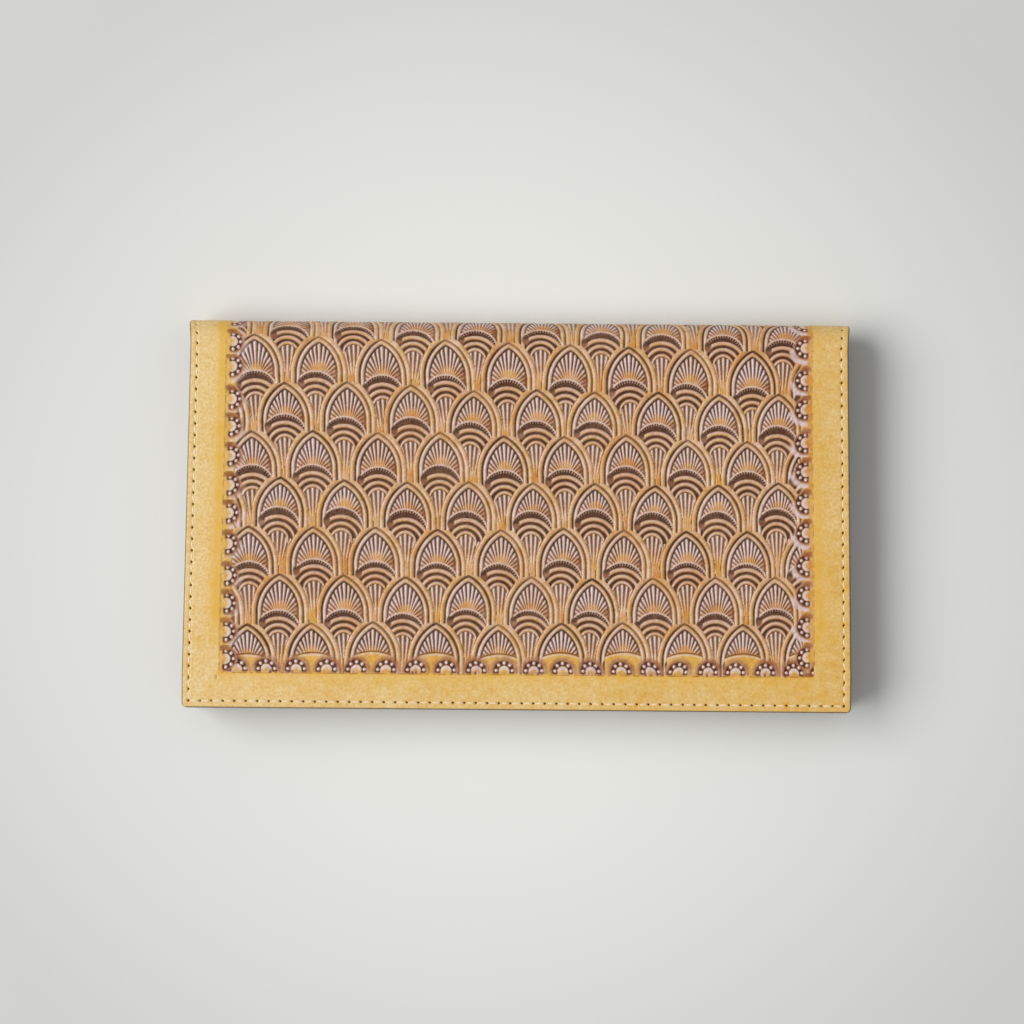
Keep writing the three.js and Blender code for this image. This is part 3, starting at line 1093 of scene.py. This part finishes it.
def plain_look(x, row):
    """Face of a plain sheet that ends at the sides of the wallet."""
    side = HALF_WIDTH - np.abs(x)
    return edge_roll(side, LINING_ROUNDING) + PLAIN_SINK, {"burnish": smooth(0.6, 0.1, side)}


def plain_columns(step):
    inner = HALF_WIDTH - EDGE_BAND
    return with_sides(inner, step, (inner, HALF_WIDTH, EDGE_STEP))


def build_lining(material):
    half = graded((0.0, EDGE_BAND, EDGE_STEP), (EDGE_BAND, FLAT_LENGTH, LINING_STEP),
                  (FLAT_LENGTH, CUTS[0], FOLD_STEP))
    upper, lower = (graded((CUTS[n], CUTS[n + 1], FOLD_STEP)) for n in (0, 1))
    columns = [plain_columns(LINING_STEP)] * len(PARTS)
    build_layer("lining", "lining_sheet", columns, (half, upper, lower, half), plain_look,
                LINING_THICKNESS, inner_point, True, material)


def build_pocket_wall(node, body, faces_up, material):
    """A pocket wall with a creased mouth, in the place of its solid."""
    low, high = (np.array(corner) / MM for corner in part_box(node))
    mouth = high[1] - low[1]

    def look(x, row):
        edge = np.minimum(HALF_WIDTH - np.abs(x), np.minimum(row, mouth - row))
        crease = ridge(mouth - row - CREASE_INSET, CREASE_HALF)
        depth = np.maximum(edge_roll(edge, POCKET_ROUNDING), CREASE_DEPTH * crease) + PLAIN_SINK
        return depth, {"burnish": np.maximum(smooth(0.7, 0.1, edge), 0.56 * crease)}

    def place(row, depth):
        return low[1] + row, high[2] - depth if faces_up else low[2] + depth

    rows = graded((0.0, EDGE_BAND, EDGE_STEP), (EDGE_BAND, mouth - MOUTH_BAND, POCKET_STEP),
                  (mouth - MOUTH_BAND, mouth, EDGE_STEP))
    wall = Sheet(plain_columns(POCKET_STEP), rows, look, high[2] - low[2], place, (True, True))
    piece = wall.build(node + "_leather", not faces_up)
    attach(piece, body)
    dress(piece, material, "pocket_leather", node)


def build_hem(node, body, material):
    """The turned edge under a pocket wall: its solid, drawn in with the wallet's sides."""
    work = bmesh.new()
    work.from_mesh(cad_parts[node].data)
    bmesh.ops.dissolve_limit(work, angle_limit=0.02, verts=work.verts, edges=work.edges)
    outer = [v for v in work.verts
             if abs(v.co.x) > (HALF_WIDTH - 0.01) * MM and v.co.y < (0.01 - OPEN_EDGE) * MM]
    corners = [e for e in work.edges if e.verts[0] in outer and e.verts[1] in outer
               and abs(e.verts[0].co.z - e.verts[1].co.z) > 0.1 * MM]
    if corners:
        bmesh.ops.bevel(work, geom=corners, offset=CORNER_RADIUS * MM, segments=6, affect="EDGES")
    for vertex in work.verts:
        vertex.co.x -= float(waist_pull(vertex.co.x / MM, vertex.co.y / MM + OPEN_EDGE)) * MM
    mesh = bpy.data.meshes.new(node + "_edge")
    work.to_mesh(mesh)
    work.free()
    piece = link(bpy.data.objects.new(node + "_edge", mesh))
    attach(piece, body)
    dress(piece, material, "hem_leather", node)


def stitch_mesh(name, stitches):
    """Two-ply thread from hole to hole: each stitch is (from, to, outward direction)."""
    share = np.linspace(0.0, 1.0, STATIONS)
    theta = np.linspace(0.0, 2.0 * np.pi, THREAD_SIDES, endpoint=False)
    lift = THREAD_ARCH * np.sin(np.pi * share) ** 0.5 - THREAD_SINK
    points, flats = [], []
    for begin, finish, outward in stitches:
        length = np.linalg.norm(finish - begin)
        across = np.cross(outward, (finish - begin) / length)
        middle = begin + np.outer(share, finish - begin) + np.outer(lift, outward)
        twist = 2.0 * (theta - THREAD_TWIST * length * share[:, None])
        radius = THREAD_RADIUS * (1.0 + THREAD_PLY * np.cos(twist))
        ring = (middle[:, None] + (THREAD_SPREAD * radius * np.cos(theta))[..., None] * across
                + (radius * np.sin(theta))[..., None] * outward)
        points.append(ring.reshape(-1, 3))
        run = np.repeat(share * length + len(points) * 3.3, THREAD_SIDES)
        girth = np.tile(theta * THREAD_RADIUS, STATIONS)
        flats.append(np.column_stack((run, girth, np.zeros(run.size))))
    index = np.arange(STATIONS * THREAD_SIDES).reshape(STATIONS, THREAD_SIDES)
    starts = index.size * np.arange(len(stitches))[:, None, None]
    quads = grid_quads(np.hstack((index, index[:, :1]))) + starts
    caps = np.array((index[0, ::-1], index[-1])) + starts
    faces = [quads.reshape(-1, 4), caps.reshape(-1, THREAD_SIDES)]
    return mesh_object(name, np.concatenate(points), faces, [True, False], {}, np.concatenate(flats))


def outer_point(x, s):
    """Point on the cover's outer face, in the sewn groove."""
    return np.array([x - waist_pull(x, s), *surface_point(s, GROOVE_DEPTH)])


def inside_point(x, s):
    """Point on the innermost leather, which steps down at the mouth of each pocket."""
    y, z = surface_point(s, LINING_INSIDE)
    front = s < 0.5 * SHEET_LENGTH
    for pocket in FRONT_POCKETS if front else BACK_POCKETS:
        low, high = (np.array(corner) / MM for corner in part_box(pocket + "_wall"))
        if y < high[1]:
            z = low[2] if front else high[2]
            break
    return np.array([x - waist_pull(x, s), y, z])


def build_seam(material):
    """Stitches along both sides, both open edges and the strip between the card pockets."""
    rng = np.random.default_rng(SEED + 1)
    runs = [[] for _ in PARTS]

    def sew(begin, finish, s, both_faces=True):
        """One stitch between two (x, s) places, on the inside or on both faces."""
        run = runs[sum(s > cut for cut in CUTS)]
        outward = np.array([0.0, np.sin(bend_angle(s)), np.cos(bend_angle(s))])
        run.append((inside_point(*begin), inside_point(*finish), -outward))
        if both_faces:
            run.append((outer_point(*begin), outer_point(*finish), outward))

    for side in (-1.0, 1.0):
        x = side * (HALF_WIDTH - SEAM_INSET)
        for number in range(SIDE_STITCHES):
            begin = SEAM_START + number * SIDE_PITCH
            slant = rng.normal(STITCH_SLANT, SLANT_SPREAD)
            sew((x + slant, begin + THREAD_SETBACK), (x - slant, begin + SIDE_PITCH - THREAD_SETBACK),
                begin + 0.5 * SIDE_PITCH)
    for s in (SEAM_START, SHEET_LENGTH - SEAM_START):
        for number in range(END_STITCHES):
            begin = -HALF_WIDTH + SEAM_INSET + number * END_PITCH
            slant = rng.normal(STITCH_SLANT, SLANT_SPREAD)
            sew((begin + THREAD_SETBACK, s + slant), (begin + END_PITCH - THREAD_SETBACK, s - slant), s)
    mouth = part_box("card_pocket_1_wall")[1][1] / MM
    for number in range(int((mouth + OPEN_EDGE - SEAM_START) / SIDE_PITCH)):
        begin = SHEET_LENGTH - SEAM_START - number * SIDE_PITCH
        sew((STITCH_SLANT, begin - THREAD_SETBACK), (-STITCH_SLANT, begin - SIDE_PITCH + THREAD_SETBACK),
            begin, both_faces=False)
    nodes = (("seam_thread_front",), (), (), ("seam_thread_back",))
    for number, part in enumerate(PARTS):
        piece = stitch_mesh(f"seam_stitches_{part}", runs[number])
        bend_with(piece)
        dress(piece, material, "thread", *nodes[number])


# Stage


def build_floor():
    """A pale floor with a painted pool of light, lightest round the wallet."""
    mesh = bpy.data.meshes.new("floor")
    signs = ((-1, -1), (1, -1), (1, 1), (-1, 1))
    mesh.from_pydata([(x * FLOOR_HALF, y * FLOOR_HALF, 0.0) for x, y in signs], [], [(0, 1, 2, 3)])
    tree = Tree("floor")
    place = tree.node("TexCoord", "Object")
    reach = tree.node("VectorMath", "Value", {0: place, 1: FLOOR_MIDDLE}, operation="DISTANCE")
    share = tree.remap(reach, *FLOOR_SHADES)
    tree.set(Base_Color=tree.mix(share, FLOOR_LIT, FLOOR_DIM), Roughness=0.9, Specular_IOR_Level=0.0)
    mesh.materials.append(tree.material)
    link(bpy.data.objects.new("floor", mesh))


def build_light():
    """One large soft lamp at the left, and an even world."""
    lamp = bpy.data.lights.new("key", "AREA")
    lamp.shape = "ELLIPSE"
    lamp.size, lamp.size_y = KEY_SIZE
    lamp.energy = KEY_POWER
    key = link(bpy.data.objects.new("key", lamp))
    key.location = KEY_PLACE
    key.rotation_euler = (-Vector(KEY_PLACE)).to_track_quat("-Z", "Y").to_euler()
    world = bpy.data.worlds.new("studio")
    world.use_nodes = True
    background = world.node_tree.nodes["Background"].inputs
    background["Color"].default_value = WORLD_COLOUR
    background["Strength"].default_value = WORLD_STRENGTH
    bpy.context.scene.world = world


def build_camera():
    tilt = Matrix.Rotation(math.radians(CAMERA_TILT), 4, "X")
    turn = tilt @ Matrix.Rotation(math.radians(CAMERA_ROLL), 4, "Z")
    place = Vector(CAMERA_TARGET) + CAMERA_DISTANCE * turn.col[2].xyz
    data = bpy.data.cameras.new("camera")
    data.lens = CAMERA_LENS
    data.sensor_width = 36.0
    data.clip_start = 0.01
    camera = link(bpy.data.objects.new("camera", data))
    camera.matrix_world = Matrix.Translation(place * MM) @ turn
    bpy.context.scene.camera = camera


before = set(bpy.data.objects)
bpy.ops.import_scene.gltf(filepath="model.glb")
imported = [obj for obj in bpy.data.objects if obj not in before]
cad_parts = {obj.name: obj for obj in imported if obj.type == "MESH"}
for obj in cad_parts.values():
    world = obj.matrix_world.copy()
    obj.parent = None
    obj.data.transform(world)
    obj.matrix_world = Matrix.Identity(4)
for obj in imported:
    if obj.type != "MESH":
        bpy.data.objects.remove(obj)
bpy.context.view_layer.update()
build_camera()
build_floor()
build_light()

build_cover(cover_leather())
build_lining(sheet_leather("lining_leather", LINING_COLOURS, 0.7))
pocket_leather = sheet_leather("pocket_leather", POCKET_COLOURS, 0.5)
hem = hem_leather()
for body, faces_up, pockets in (("back_half", True, BACK_POCKETS), ("front_half", False, FRONT_POCKETS)):
    for pocket in pockets:
        build_pocket_wall(pocket + "_wall", body, faces_up, pocket_leather)
        build_hem(pocket + "_hem", body, hem)
build_seam(thread_material())

bpy.context.scene.view_settings.view_transform = "Standard"
